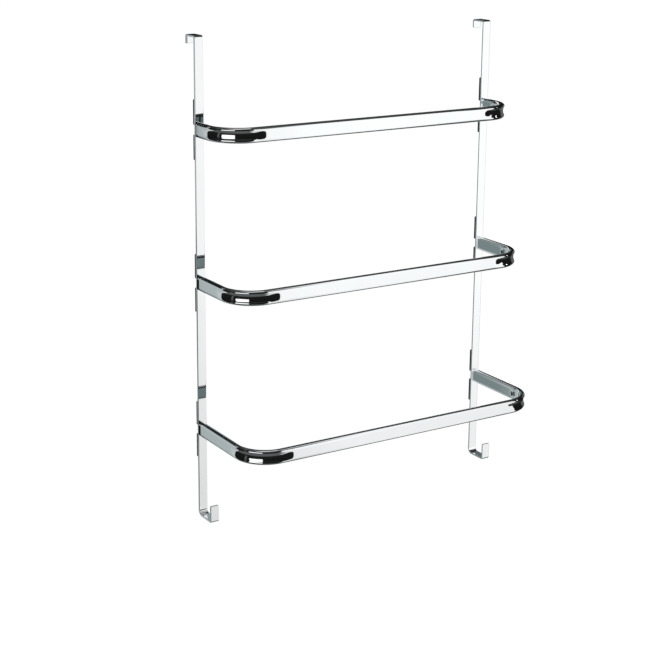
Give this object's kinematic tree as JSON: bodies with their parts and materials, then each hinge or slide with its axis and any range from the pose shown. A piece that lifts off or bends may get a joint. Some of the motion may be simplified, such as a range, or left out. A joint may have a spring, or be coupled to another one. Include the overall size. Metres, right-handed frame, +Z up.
{
  "type": "over-door towel rack",
  "caption": "Chrome towel rack that hangs over a door or shower screen: bent flat-oval rails stepping outwards on slim flat uprights with hooks top and bottom.",
  "frame": {"origin": "midway between the two over-door hooks, at the height of the door's top edge (undersides of the hooks) and in the plane of the door's front face (back faces of the door pads)", "axes": "+X along the rails to the right, -Y out into the room, +Z up"},
  "size_m": [0.4704, 0.167, 0.649],
  "materials": {
    "upright_chrome": "polished chrome plate on flat steel bar",
    "rail_chrome": "polished chrome plate on flat-oval steel tube",
    "core_metal": "as-cast grey metal",
    "screw_steel": "zinc-plated steel",
    "rail_screw_steel": "blackened steel",
    "door_pad_foam": "matt black closed-cell foam"
  },
  "bodies": {
    "root": {"left_upright": "upright_chrome", "right_upright": "upright_chrome", "top_rail": "rail_chrome", "middle_rail": "rail_chrome", "bottom_rail": "rail_chrome", "top_left_arm_core": "core_metal", "top_right_arm_core": "core_metal", "middle_left_arm_core": "core_metal", "middle_right_arm_core": "core_metal", "bottom_left_arm_core": "core_metal", "bottom_right_arm_core": "core_metal", "left_upright_screws": "screw_steel", "right_upright_screws": "screw_steel", "left_screw_washers": "screw_steel", "right_screw_washers": "screw_steel", "left_rail_screws": "rail_screw_steel", "right_rail_screws": "rail_screw_steel", "top_left_door_pads": "door_pad_foam", "top_right_door_pads": "door_pad_foam", "middle_left_door_pads": "door_pad_foam", "middle_right_door_pads": "door_pad_foam", "bottom_left_door_pads": "door_pad_foam", "bottom_right_door_pads": "door_pad_foam"}
  },
  "joints": []
}
